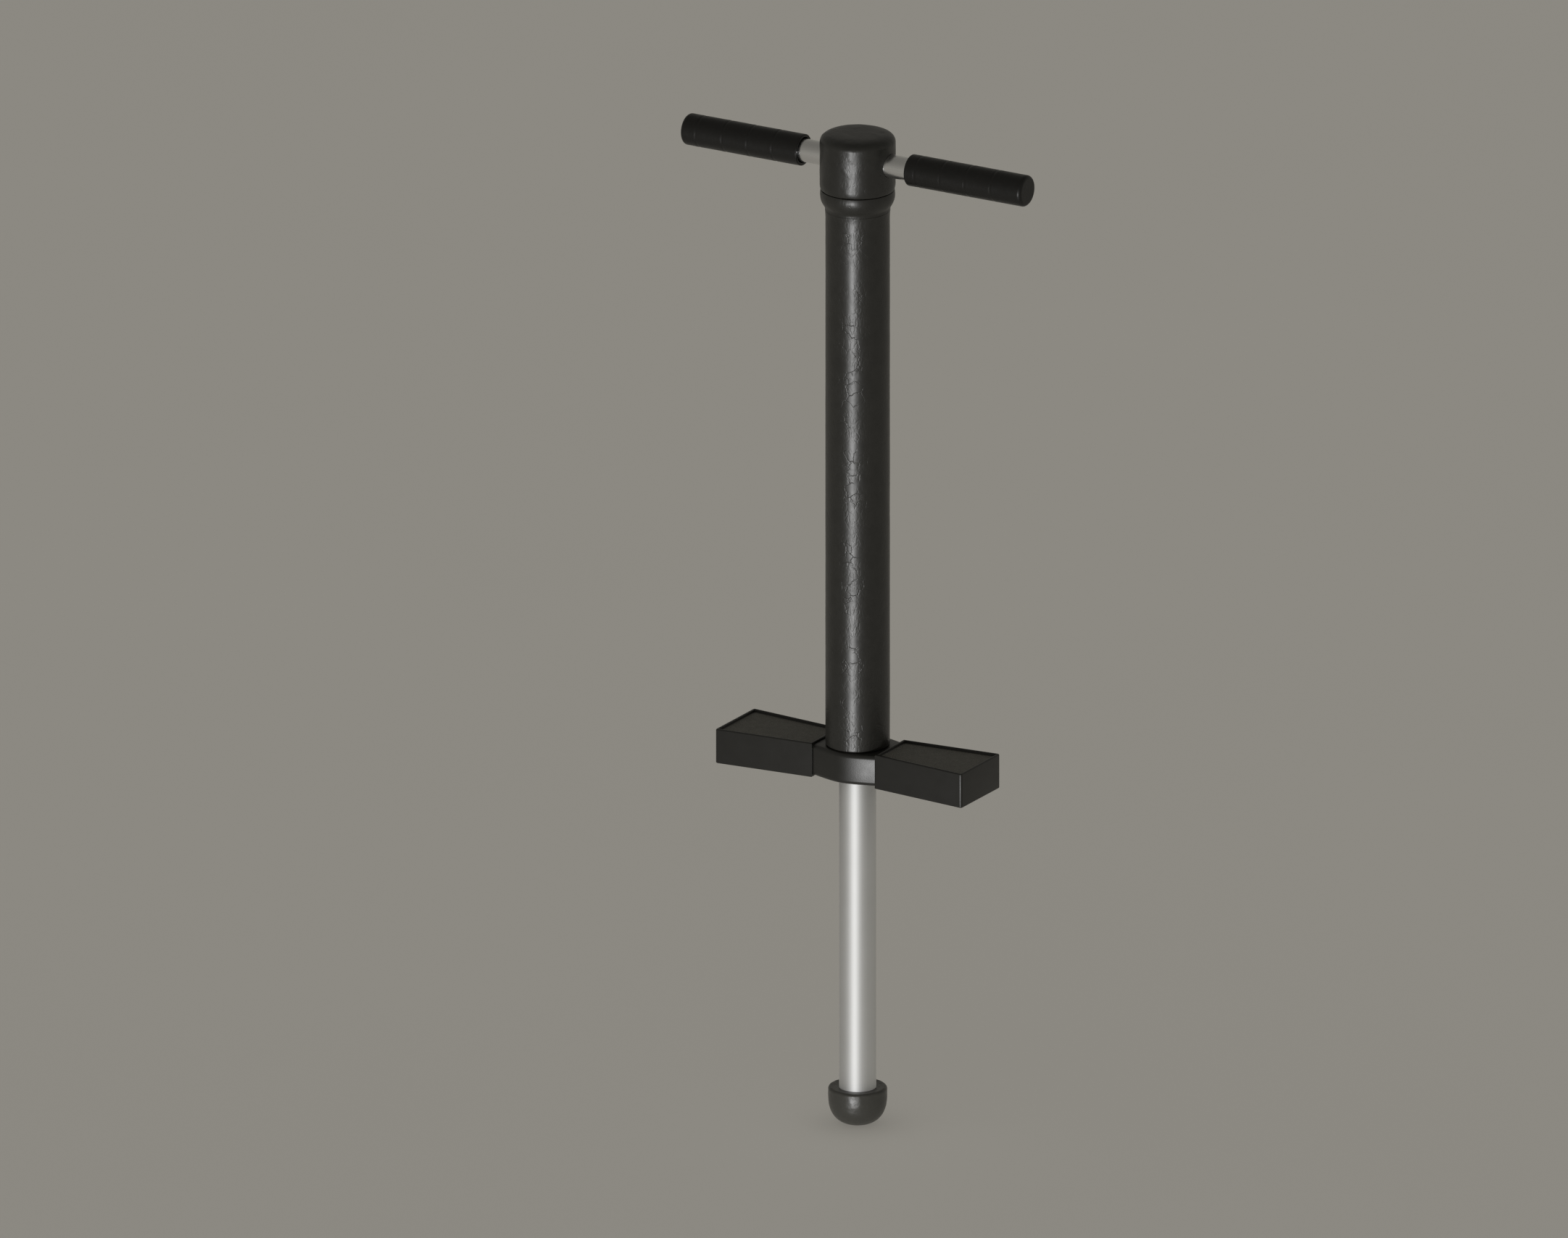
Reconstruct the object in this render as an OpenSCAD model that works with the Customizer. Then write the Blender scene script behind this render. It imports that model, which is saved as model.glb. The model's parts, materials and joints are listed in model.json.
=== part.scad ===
// Pogo stick: a padded frame tube with a T handlebar and two footrests, and a sprung
// plunger rod with a rubber foot. Millimetres, +Z up the stick, X along the handlebar,
// -Y to the front. The origin is the lowest point of the foot, on the stick's axis.
// The plunger is drawn fully out, against its top-out bumper.

/* [Overall] */

// height from the foot's lowest point to the top of the head cap
stick_h = 979.1; // [850:0.1:1150]
// length of the handlebar over the ends of both grips
bar_span = 370; // [300:1:460]
// span over the outer ends of both footrests
rest_span = 268; // [220:1:340]
// spring travel, from the plunger fully out to fully in
travel = 160; // [100:1:190]

/* [Frame tube] */

// outer diameter of the steel frame tube
tube_d = 50.8; // [44:0.1:57]
// wall of the frame tube
tube_wall = 1.8; // [1.2:0.1:3]
// outer diameter of the vinyl cover
cover_d = 60; // [54:0.5:70]
// thickness of the vinyl cover
cover_t = 1.4; // [0.8:0.1:3]
// rounding of the cover's lower edge
cover_round = 2.2; // [0.5:0.1:4]

/* [Head] */

// outer diameter of the head cap
cap_d = 71.4; // [60:0.1:80]
// height of the cap's lower edge
cap_z = 923; // [860:1:960]
// wall of the cap
cap_wall = 3; // [2:0.1:5]
// rounding of the cap's shoulder
cap_round = 9; // [4:0.1:15]
// rise of the cap's crowned top
cap_crown = 1.1; // [0:0.1:4]
// rounding of the cap's lower edge
cap_lip = 1; // [0.3:0.1:3]
// largest diameter of the flared collar
collar_d = 70.6; // [60:0.1:80]
// height of the collar's lower edge
collar_z = 903.5; // [850:0.5:920]

/* [Handlebar and grips] */

// height of the handlebar's axis
bar_z = 952; // [900:1:970]
// outer diameter of the handlebar
bar_d = 22.2; // [19:0.1:25.4]
// wall of the handlebar
bar_wall = 2; // [1:0.1:3]
// outer diameter of a grip
grip_d = 30.4; // [26:0.1:38]
// length of a grip
grip_len = 126.6; // [90:0.1:140]
// thickness of a grip's closed end
grip_end = 4; // [2:0.5:8]
// rounding of a grip's closed end
grip_round = 3.6; // [1:0.1:6]

/* [Footrests] */

// height of the footrests' lower faces
rest_z = 343.4; // [300:0.1:420]
// height of a footrest
rest_h = 33.8; // [25:0.1:45]
// distance of a footrest's inner end from the axis
rest_in = 34.2; // [30:0.1:50]
// depth of a footrest at its inner end
rest_w_in = 53.8; // [40:0.1:70]
// depth of a footrest at its outer end
rest_w_out = 72; // [50:0.1:90]
// rounding of a footrest's upright edges
rest_corner = 2.5; // [1:0.1:8]
// rounding of a footrest's top and bottom edges
rest_edge = 1.2; // [0.4:0.1:3]
// width of the raised rim around the tread
rim_w = 2.6; // [1.5:0.1:5]
// depth of the tread's surface below the rim
rim_h = 3; // [1:0.1:5]
// thickness of the tread
tread_t = 2; // [1:0.1:4]
// wall of a footrest's underside
rest_wall = 3.2; // [2:0.1:5]

/* [Footrest hub] */

// height of the hub's lower face
hub_z = 345; // [300:0.5:420]
// height of the hub
hub_h = 30.2; // [20:0.5:40]
// depth of the hub at its middle
hub_w_mid = 68.4; // [58:0.1:80]
// depth of the hub at its ends
hub_w_end = 52.6; // [40:0.1:60]
// distance from the middle at which the hub's round bulge runs into its straight flanks
hub_bulge = 20; // [6:0.5:25]
// rounding of the hub's edges
hub_edge = 4.2; // [0.5:0.1:5]

/* [Plunger] */

// outer diameter of the plunger rod
rod_d = 34.9; // [28:0.1:40]
// wall of the plunger rod
rod_wall = 2; // [1.5:0.1:4]
// radial running clearance between rod and bush
bush_gap = 0.05; // [0.02:0.01:0.1]
// length of the guide bush
bush_len = 100; // [60:1:140]
// diameter of the foot
foot_d = 55.5; // [45:0.1:70]
// height of the foot
foot_h = 36; // [28:0.5:50]
// height of the foot's rounded bowl
bowl_h = 30; // [20:0.5:40]

/* [Spring] */

// diameter of the spring wire
wire_d = 6; // [4:0.1:7]
// mean diameter of the spring
coil_d = 38; // [30:0.1:40]
// turns with room between them
open_turns = 31; // [20:1:40]

/* [Hidden] */

$fn = 96;
tube_r = tube_d / 2;
bore_r = tube_r - tube_wall;
rod_r = rod_d / 2;
bar_r = bar_d / 2;
cap_r = cap_d / 2;
collar_r = collar_d / 2;
cover_r = cover_d / 2;

lip_z = hub_z + 4;
tube_top = bar_z + 14;
hub_top = hub_z + hub_h;
bush_top = lip_z + bush_len;
bumper_top = bush_top + 10;
head_z = bumper_top + 0.3;
head_top = head_z + 28;
rod_z = 13;
rod_top = head_top - 5;
washer_z = head_top + 0.2;
seat_z = washer_z + 2;
spring_z = seat_z + 6;
top_seat_z = 898;
spring_len = top_seat_z - spring_z;
pin_z = top_seat_z + 6 + 4;
rest_out = rest_span / 2;
deck_z = rest_z + rest_h - rim_h - tread_t;
arm_h = 10;
arm_w = 22;
arm_z = deck_z - 5 - arm_h;
arm_in = 28.4;
arm_out = rest_out - 12;
bolt_xs = [58, 106];
grip_in = bar_span / 2 - grip_len;
bar_half = bar_span / 2 - grip_end - 2;

soft_black = [0.16, 0.155, 0.14];
vinyl_black = [0.17, 0.165, 0.15];
rubber_grey = [0.25, 0.245, 0.225];
grip_black = [0.11, 0.11, 0.105];
steel_bright = [0.72, 0.72, 0.70];
steel_grey = [0.50, 0.49, 0.47];
zinc = [0.60, 0.60, 0.57];
nylon = [0.82, 0.80, 0.74];
foam_grey = [0.30, 0.30, 0.30];

function smooth(t) = let (c = min(max(t, 0), 1)) c * c * (3 - 2 * c);

// Points of a circle's arc from a0 to a1.
function arc(cx, cy, r, a0, a1, n) =
    [for (i = [0:n]) let (a = a0 + (a1 - a0) * i / n) [cx + r * cos(a), cy + r * sin(a)]];

// A closed solid through outlines of one point count, outline k at height zs[k].
module loft(outlines, zs) {
    n = len(outlines[0]);
    m = len(zs);
    points = [for (k = [0:m - 1]) for (p = outlines[k]) [p[0], p[1], zs[k]]];
    sides = [for (k = [0:m - 2]) for (i = [0:n - 1]) let (j = (i + 1) % n)
        for (f = [0:1]) f == 0
            ? [k * n + i, (k + 1) * n + j, k * n + j]
            : [k * n + i, (k + 1) * n + i, (k + 1) * n + j]];
    low = [for (i = [0:n - 1]) i];
    high = [for (i = [n - 1:-1:0]) (m - 1) * n + i];
    polyhedron(points, concat(sides, [low, high]), convexity = 6);
}

// A tube with square ends.
module ring(r_out, r_in, z0, z1) {
    rotate_extrude()
        translate([r_in, z0])
            square([r_out - r_in, z1 - z0]);
}

// A round bar along X from x0 to x1 at the handlebar's height.
module bar_shape(r, x0, x1) {
    translate([x0, 0, bar_z])
        rotate([0, 90, 0])
            cylinder(r = r, h = x1 - x0);
}

// ---------- frame tube ----------

module main_tube() {
    color(steel_grey)
        difference() {
            ring(tube_r, bore_r, lip_z, tube_top);
            bar_shape(bar_r, -40, 40);
            translate([0, 40, pin_z])
                rotate([90, 0, 0])
                    cylinder(r = 4, h = 80);
        }
}

module foam_sleeve() {
    color(foam_grey)
        ring(cover_r - cover_t, tube_r, hub_top, collar_z);
}

module tube_cover() {
    r_in = cover_r - cover_t;
    color(vinyl_black)
        rotate_extrude()
            polygon(concat(
                [[r_in, collar_z], [r_in, hub_top]],
                arc(cover_r - cover_t / 2, hub_top + cover_round, cover_t / 2, -90, 0, 6),
                [[cover_r, collar_z]]));
}

module neck_collar() {
    flare = [for (i = [0:14]) let (t = i / 14)
        [cover_r + 0.4 + (collar_r - cover_r - 0.4) * smooth(t * 1.02), collar_z + 13.5 * t]];
    color(soft_black)
        rotate_extrude()
            polygon(concat(
                [[tube_r, cap_z - 0.4], [tube_r, collar_z]],
                flare,
                arc(collar_r - 1.2, cap_z - 1.6, 1.2, 0, 90, 5)));
}

// ---------- head ----------

// Half outline of the cap's outside, grown inwards by d.
function cap_outline(d) = concat(
    [for (i = [0:8]) let (t = i / 8, r = (cap_r - cap_round) * t)
        [r, stick_h - d - cap_crown * t * t]],
    [for (i = [1:10]) let (a = 90 * i / 10)
        [cap_r - cap_round + (cap_round - d) * sin(a),
         stick_h - cap_crown - cap_round + (cap_round - d) * cos(a)]]);

module head_cap() {
    color(soft_black)
        difference() {
            rotate_extrude()
                difference() {
                    polygon(concat(
                        [[0, cap_z + 8]],
                        cap_outline(0),
                        arc(cap_r - cap_lip, cap_z + cap_lip, cap_lip, 0, -90, 5),
                        [[tube_r, cap_z], [tube_r, cap_z + 8]]));
                    polygon(concat(
                        [[0, cap_z + 3]],
                        cap_outline(cap_wall),
                        [[cap_r - cap_wall, cap_z + 3]]));
                }
            bar_shape(bar_r + 0.2, -50, 50);
        }
}

module head_pad() {
    color(foam_grey)
        difference() {
            ring(cap_r - cap_wall, tube_r, cap_z + 3, tube_top - 1);
            bar_shape(bar_r, -50, 50);
        }
}

module head_plug() {
    color(nylon)
        difference() {
            translate([0, 0, bar_z - 20])
                cylinder(r = bore_r, h = tube_top - bar_z + 20);
            bar_shape(bar_r, -40, 40);
            translate([0, 0, bar_z])
                cylinder(r = 3, h = 30);
        }
}

module bar_screw() {
    color(zinc)
        difference() {
            union() {
                translate([0, 0, bar_z + 5])
                    cylinder(r = 3, h = 10);
                translate([0, 0, tube_top])
                    cylinder(r = 5, h = 5);
            }
            translate([0, 0, tube_top + 2])
                cylinder(r = 2.9, h = 4, $fn = 6);
        }
}

// ---------- handlebar and grips ----------

module handlebar() {
    color(steel_bright)
        difference() {
            bar_shape(bar_r, -bar_half, bar_half);
            bar_shape(bar_r - bar_wall, -bar_half - 1, bar_half + 1);
            translate([0, 0, bar_z])
                cylinder(r = 3, h = 20);
        }
}

module bar_end_plugs() {
    color(nylon)
        for (side = [0, 180])
            rotate([0, 0, side])
                union() {
                    bar_shape(bar_r - bar_wall, bar_half - 14, bar_half);
                    bar_shape(bar_r, bar_half, bar_half + 2);
                }
}

// A grip pointing to +X: a sleeve with a rounded closed end.
module grip_shape() {
    r = grip_d / 2;
    x1 = bar_span / 2;
    translate([0, 0, bar_z])
        rotate([0, 90, 0])
            rotate_extrude()
                polygon(concat(
                    [[0, bar_half + 2], [bar_r, bar_half + 2], [bar_r, grip_in],
                     [r - 0.3, grip_in], [r, grip_in + 0.3]],
                    arc(r - grip_round, x1 - grip_round, grip_round, 0, 90, 8),
                    [[0, x1]]));
}

module grip_right() {
    color(grip_black)
        grip_shape();
}

module grip_left() {
    color(grip_black)
        rotate([0, 0, 180])
            grip_shape();
}

// ---------- spring and its seats ----------

module seat_pin() {
    color(zinc)
        translate([0, tube_r - 0.5, pin_z])
            rotate([90, 0, 0])
                cylinder(r = 4, h = tube_d - 1);
}

module spring_seat_top() {
    color(steel_grey)
        rotate_extrude()
            polygon([
                [5, top_seat_z + 6], [5, top_seat_z - 14], [14.6, top_seat_z - 14],
                [15.4, top_seat_z - 12], [15.4, top_seat_z], [bore_r - 0.2, top_seat_z],
                [bore_r - 0.2, top_seat_z + 6]]);
}

// The spring's wire: closed end turns, then evenly open turns between them.
module main_spring() {
    sides = 6;
    per_turn = 20;
    turns = open_turns + 2;
    steps = turns * per_turn;
    closed = wire_d * 1.04;
    rise = spring_len - wire_d;
    open = (rise - 2 * closed) / open_turns;
    path = [for (i = [0:steps]) let (u = i / per_turn)
        u < 1 ? closed * u
        : u > turns - 1 ? rise - closed * (turns - u)
        : closed + open * (u - 1)];
    points = [for (i = [0:steps]) let (a = 360 * i / per_turn)
        for (k = [0:sides - 1]) let (b = 360 * k / sides + 30,
            r = coil_d / 2 + wire_d / 2 * cos(b))
            [r * cos(a), r * sin(a), spring_z + wire_d / 2 + path[i] + wire_d / 2 * sin(b)]];
    skin = [for (i = [0:steps - 1]) for (k = [0:sides - 1]) let (j = (k + 1) % sides)
        for (f = [0:1]) f == 0
            ? [i * sides + k, (i + 1) * sides + j, i * sides + j]
            : [i * sides + k, (i + 1) * sides + k, (i + 1) * sides + j]];
    first = [for (k = [0:sides - 1]) k];
    last = [for (k = [sides - 1:-1:0]) steps * sides + k];
    color(zinc)
        polyhedron(points, concat(skin, [first, last]), convexity = 10);
}

module spring_seat_bottom() {
    color(steel_grey)
        rotate_extrude()
            polygon([
                [0, seat_z], [bore_r - 0.4, seat_z], [bore_r - 0.4, spring_z],
                [15.4, spring_z], [15.4, spring_z + 12], [14.6, spring_z + 14],
                [0, spring_z + 14]]);
}

module thrust_washer() {
    color(nylon)
        translate([0, 0, washer_z])
            cylinder(r = bore_r - 1.2, h = 2);
}

// ---------- guide bush ----------

module lower_bush() {
    color(nylon)
        ring(bore_r, rod_r + bush_gap, lip_z, bush_top);
}

module topout_bumper() {
    r0 = rod_r + 0.6;
    r1 = bore_r - 0.3;
    color(rubber_grey)
        rotate_extrude()
            polygon(concat(
                [[r0, bush_top], [r1, bush_top]],
                arc(r1 - 1.2, bumper_top - 1.2, 1.2, 0, 90, 5),
                arc(r0 + 1.2, bumper_top - 1.2, 1.2, 90, 180, 5)));
}

// ---------- footrest hub and arms ----------

// Half depth of the hub at a distance x from the axis.
function hub_depth(x) = let (
        slope = (hub_w_mid - hub_w_end) / 2 / (rest_in - hub_bulge / 2),
        a = min(abs(x), hub_bulge), b = max(abs(x) - hub_bulge, 0))
    hub_w_mid / 2 - slope * (a * a / hub_bulge / 2 + b);

// The hub's outline, pulled in by d.
function hub_outline(d) = let (n = 28, e = rest_in)
    concat(
        [for (i = [0:n]) let (x = -e + 2 * e * i / n) [x, -hub_depth(x) + d]],
        [for (i = [0:n]) let (x = e - 2 * e * i / n) [x, hub_depth(x) - d]]);

module footrest_hub() {
    steps = 4;
    zs = concat(
        [for (i = [0:steps]) hub_z + hub_edge * (1 - cos(90 * i / steps))],
        [for (i = [0:steps]) hub_top - hub_edge * (1 - sin(90 * i / steps))]);
    outlines = concat(
        [for (i = [0:steps]) hub_outline(hub_edge * (1 - sin(90 * i / steps)))],
        [for (i = [0:steps]) hub_outline(hub_edge * (1 - cos(90 * i / steps)))]);
    color(soft_black)
        difference() {
            loft(outlines, zs);
            translate([0, 0, lip_z])
                cylinder(r = tube_r, h = hub_h);
            translate([0, 0, hub_z - 1])
                cylinder(r = rod_r + 0.8, h = hub_h);
            for (side = [0, 180])
                rotate([0, 0, side])
                    translate([arm_in, -arm_w / 2, arm_z])
                        cube([20, arm_w, arm_h]);
            translate([0, tube_r - 1, hub_z + hub_h / 2])
                rotate([-90, 0, 0])
                    cylinder(r = 4, h = 20);
        }
}

module hub_set_screw() {
    color(zinc)
        translate([0, 0, hub_z + hub_h / 2])
            rotate([-90, 0, 0])
                difference() {
                    translate([0, 0, tube_r])
                        cylinder(r = 4, h = 6.4);
                    translate([0, 0, tube_r + 3])
                        cylinder(r = 2.3, h = 6, $fn = 6);
                }
}

module footrest_arms() {
    color(steel_grey)
        for (side = [0, 180])
            rotate([0, 0, side])
                difference() {
                    translate([arm_in, -arm_w / 2, arm_z])
                        cube([arm_out - arm_in, arm_w, arm_h]);
                    for (x = bolt_xs)
                        translate([x, 0, arm_z - 1])
                            cylinder(r = 3.2, h = arm_h + 2, $fn = 48);
                }
}

// ---------- footrests ----------

// Half depth of a footrest at a distance x from the axis.
function rest_depth(x) =
    (rest_w_in + (rest_w_out - rest_w_in) * (x - rest_in) / (rest_out - rest_in)) / 2;

// A footrest's rounded outline, pulled in by d on every side.
function rest_outline(d, corner) = let (
        x0 = rest_in + d, x1 = rest_out - d,
        y0 = rest_depth(x0) - d * 1.004, y1 = rest_depth(x1) - d * 1.004,
        c = max(corner - d, 0.4), n = 5)
    concat(
        arc(x0 + c, -y0 + c, c, 180, 270, n),
        arc(x1 - c, -y1 + c, c, 275, 360, n),
        arc(x1 - c, y1 - c, c, 0, 85, n),
        arc(x0 + c, y0 - c, c, 90, 180, n));

// The pocket under a footrest between x0 and x1, on the side of y > 0 or y < 0.
module rest_pocket(x0, x1, side) {
    y_in = arm_w / 2 + rest_wall;
    translate([0, 0, rest_z - 1])
        linear_extrude(height = deck_z - 4 - rest_z + 1)
            polygon([
                [x0, side * y_in], [x1, side * y_in],
                [x1, side * (rest_depth(x1) - rest_wall)],
                [x0, side * (rest_depth(x0) - rest_wall)]]);
}

// A footrest pointing to +X: a moulded block, hollow below, with a rimmed top.
module rest_shape() {
    steps = 3;
    top = rest_z + rest_h;
    zs = concat(
        [for (i = [0:steps]) rest_z + rest_edge * (1 - cos(90 * i / steps))],
        [for (i = [0:steps]) top - rest_edge * (1 - sin(90 * i / steps))]);
    outlines = concat(
        [for (i = [0:steps]) rest_outline(rest_edge * (1 - sin(90 * i / steps)), rest_corner)],
        [for (i = [0:steps]) rest_outline(rest_edge * (1 - cos(90 * i / steps)), rest_corner)]);
    bays = 3;
    bay = (rest_out - rest_in - rest_wall) / bays;
    difference() {
        loft(outlines, zs);
        translate([0, 0, deck_z])
            linear_extrude(height = 20)
                polygon(rest_outline(rim_w, rest_corner + 0.6));
        translate([rest_in - 1, -arm_w / 2, rest_z - 1])
            cube([arm_out - rest_in + 1, arm_w, arm_z + arm_h - rest_z + 1]);
        for (i = [0:bays - 1])
            for (side = [-1, 1])
                rest_pocket(rest_in + rest_wall + bay * i, rest_in + bay * (i + 1), side);
        for (x = bolt_xs)
            translate([x, 0, 0]) {
                translate([0, 0, rest_z])
                    cylinder(r = 3.2, h = rest_h, $fn = 48);
                translate([0, 0, deck_z - 3.4])
                    cylinder(r = 5.9, h = 10, $fn = 6);
            }
    }
}

module pedal_right() {
    color(soft_black)
        rest_shape();
}

module pedal_left() {
    color(soft_black)
        rotate([0, 0, 180])
            rest_shape();
}

module tread_shape() {
    translate([0, 0, deck_z])
        linear_extrude(height = tread_t)
            polygon(rest_outline(rim_w + 0.1, rest_corner + 0.6));
}

module tread_right() {
    color(rubber_grey)
        tread_shape();
}

module tread_left() {
    color(rubber_grey)
        rotate([0, 0, 180])
            tread_shape();
}

// Places a child at every bolt of both footrests.
module at_bolts() {
    for (side = [0, 180])
        rotate([0, 0, side])
            for (x = bolt_xs)
                translate([x, 0, 0])
                    children();
}

module pedal_bolts() {
    color(zinc)
        at_bolts()
            difference() {
                union() {
                    translate([0, 0, arm_z - 1.2 - 4])
                        cylinder(r = 5, h = 4, $fn = 48);
                    translate([0, 0, arm_z - 1.2])
                        cylinder(r = 3, h = deck_z - arm_z + 0.8, $fn = 48);
                }
                translate([0, 0, arm_z - 6])
                    cylinder(r = 2.3, h = 3, $fn = 6);
            }
}

module pedal_washers() {
    color(zinc)
        at_bolts()
            translate([0, 0, arm_z - 1.2])
                difference() {
                    cylinder(r = 6.2, h = 1.2, $fn = 48);
                    translate([0, 0, -1])
                        cylinder(r = 3.2, h = 4, $fn = 48);
                }
}

module pedal_nuts() {
    color(zinc)
        at_bolts()
            translate([0, 0, deck_z - 3.4])
                difference() {
                    cylinder(r = 5.7, h = 3.2, $fn = 6);
                    translate([0, 0, -1])
                        cylinder(r = 3, h = 6, $fn = 48);
                }
}

// ---------- plunger rod and foot ----------

module piston_rod() {
    color(steel_bright)
        difference() {
            ring(rod_r, rod_r - rod_wall, rod_z, rod_top);
            translate([0, 30, head_z + 12])
                rotate([90, 0, 0])
                    cylinder(r = 3, h = 60);
        }
}

module rod_head() {
    r = bore_r - 0.35;
    color(nylon)
        difference() {
            rotate_extrude()
                polygon([
                    [rod_r, head_z], [r - 1, head_z], [r, head_z + 1], [r, head_top - 1],
                    [r - 1, head_top], [0, head_top], [0, rod_top], [rod_r, rod_top]]);
            translate([0, 30, head_z + 12])
                rotate([90, 0, 0])
                    cylinder(r = 3, h = 60);
        }
}

module rod_pin() {
    color(zinc)
        translate([0, bore_r - 1, head_z + 12])
            rotate([90, 0, 0])
                cylinder(r = 3, h = 2 * (bore_r - 1));
}

module rod_end_plug() {
    color(steel_grey)
        translate([0, 0, rod_z])
            cylinder(r = rod_r - rod_wall, h = 14);
}

module foot_washer() {
    color(zinc)
        translate([0, 0, rod_z - 2.5])
            cylinder(r = rod_r, h = 2.5);
}

// The foot: a rounded rubber bowl around the rod's end, its top dished towards the rod.
module foot_tip() {
    r = foot_d / 2;
    p = 2 / 2.6;
    bowl = [for (i = [0:20]) let (a = 90 * i / 20)
        [r * pow(sin(a), p), bowl_h - bowl_h * pow(cos(a), p)]];
    color(rubber_grey)
        rotate_extrude()
            polygon(concat(
                bowl,
                arc(r - 2.4, foot_h - 2.4, 2.4, 0, 100, 6),
                [[rod_r + 2, foot_h - 1.8], [rod_r, foot_h - 1.8], [rod_r, rod_z - 2.5],
                 [0, rod_z - 2.5]]));
}

main_tube();
foam_sleeve();
tube_cover();
neck_collar();
head_cap();
head_pad();
head_plug();
bar_screw();
handlebar();
bar_end_plugs();
grip_left();
grip_right();
seat_pin();
spring_seat_top();
main_spring();
lower_bush();
topout_bumper();
footrest_hub();
hub_set_screw();
footrest_arms();
pedal_left();
pedal_right();
tread_left();
tread_right();
pedal_bolts();
pedal_washers();
pedal_nuts();
spring_seat_bottom();
thrust_washer();
piston_rod();
rod_head();
rod_pin();
rod_end_plug();
foot_washer();
foot_tip();
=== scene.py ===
"""A pogo stick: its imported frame, the detailed pieces built around it, their finishes, the
studio floor, the light and the camera. Lengths are in metres."""
import json
import math

import bpy
import bmesh
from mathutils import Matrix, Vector, noise


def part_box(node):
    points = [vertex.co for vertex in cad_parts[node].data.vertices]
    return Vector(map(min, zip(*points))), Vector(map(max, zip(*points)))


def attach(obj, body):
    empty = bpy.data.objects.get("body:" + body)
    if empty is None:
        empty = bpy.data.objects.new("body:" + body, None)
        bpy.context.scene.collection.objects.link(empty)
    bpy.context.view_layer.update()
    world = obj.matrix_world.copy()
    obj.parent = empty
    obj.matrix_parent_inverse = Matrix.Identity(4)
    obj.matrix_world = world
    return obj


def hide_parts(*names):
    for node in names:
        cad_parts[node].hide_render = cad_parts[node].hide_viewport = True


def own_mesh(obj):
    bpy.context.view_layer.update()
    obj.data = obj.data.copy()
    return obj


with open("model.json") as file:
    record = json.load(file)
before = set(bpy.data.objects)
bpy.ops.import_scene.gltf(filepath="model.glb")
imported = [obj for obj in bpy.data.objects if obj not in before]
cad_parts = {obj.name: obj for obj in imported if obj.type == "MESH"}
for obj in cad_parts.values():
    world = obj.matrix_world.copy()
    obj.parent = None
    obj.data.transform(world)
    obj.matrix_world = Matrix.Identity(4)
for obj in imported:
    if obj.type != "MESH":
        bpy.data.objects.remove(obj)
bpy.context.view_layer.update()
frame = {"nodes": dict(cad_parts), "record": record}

scene = bpy.context.scene
nodes = frame["nodes"]
MM = 0.001
noise.seed_set(1)   # noise_vector takes its seed from the clock otherwise


# ---------------------------------------------------------------- shapes

def smooth(t):
    t = min(max(t, 0.0), 1.0)
    return t * t * (3 - 2 * t)


def arc(cx, cy, r, a0, a1, n):
    """Points of a circle's arc from a0 to a1 degrees, both ends included."""
    turns = [math.radians(a0 + (a1 - a0) * i / n) for i in range(n + 1)]
    return [(cx + r * math.cos(a), cy + r * math.sin(a)) for a in turns]


def steps(a, b, n):
    """n + 1 even steps from a to b."""
    return [a + (b - a) * i / n for i in range(n + 1)]


def shade(mesh, sharp=35):
    """Turns every face outwards, and shades smooth up to an edge of that many degrees."""
    bm = bmesh.new()
    bm.from_mesh(mesh)
    bmesh.ops.recalc_face_normals(bm, faces=bm.faces)
    bm.to_mesh(mesh)
    bm.free()
    mesh.polygons.foreach_set("use_smooth", [True] * len(mesh.polygons))
    mesh.set_sharp_from_angle(angle=math.radians(sharp))


def solid(name, points, faces, sharp=35):
    mesh = bpy.data.meshes.new(name)
    mesh.from_pydata(points, [], faces)
    shade(mesh, sharp)
    piece = bpy.data.objects.new(name, mesh)
    scene.collection.objects.link(piece)
    return piece


def skin(name, rings, loop=False, sharp=35):
    """A solid through rings of one point count. A loop joins the last ring to the first."""
    n, m = len(rings[0]), len(rings)
    faces = []
    for k in range(m if loop else m - 1):
        a, b = k * n, (k + 1) % m * n
        faces += [(a + i, a + (i + 1) % n, b + (i + 1) % n, b + i) for i in range(n)]
    if not loop:
        faces += [tuple(range(n - 1, -1, -1)), tuple(range((m - 1) * n, m * n))]
    return solid(name, [p for ring in rings for p in ring], faces, sharp)


def turned(name, profile, n=128, loop=False, along="Z", height=0.0, sharp=35):
    """A solid of revolution. The profile's points are (radius, place along the axis)."""
    turns = [(math.cos(a), math.sin(a)) for a in (2 * math.pi * i / n for i in range(n))]
    if along == "Z":
        rings = [[(r * c, r * s, h) for c, s in turns] for r, h in profile]
    else:
        rings = [[(h, r * c, height + r * s) for c, s in turns] for r, h in profile]
    return skin(name, rings, loop, sharp)


def carve(piece, relief):
    """Moves each point along its normal by relief(point)."""
    mesh = piece.data
    moved = [v.co + v.normal * relief(v.co) for v in mesh.vertices]
    mesh.vertices.foreach_set("co", [c for p in moved for c in p])
    mesh.update()
    return piece


def cut(piece, *cutters, sharp=35):
    """Takes the cutters' space out of a piece, and removes them."""
    for cutter in cutters:
        change = piece.modifiers.new("cut", "BOOLEAN")
        change.operation = "DIFFERENCE"
        change.solver = "EXACT"
        change.object = cutter
    bpy.context.view_layer.update()
    seen = piece.evaluated_get(bpy.context.evaluated_depsgraph_get())
    mesh = bpy.data.meshes.new_from_object(seen)
    piece.modifiers.clear()
    old, piece.data = piece.data, mesh
    mesh.name = piece.name
    bpy.data.meshes.remove(old)
    shade(mesh, sharp)
    for cutter in cutters:
        bpy.data.objects.remove(cutter)
    return piece


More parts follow.
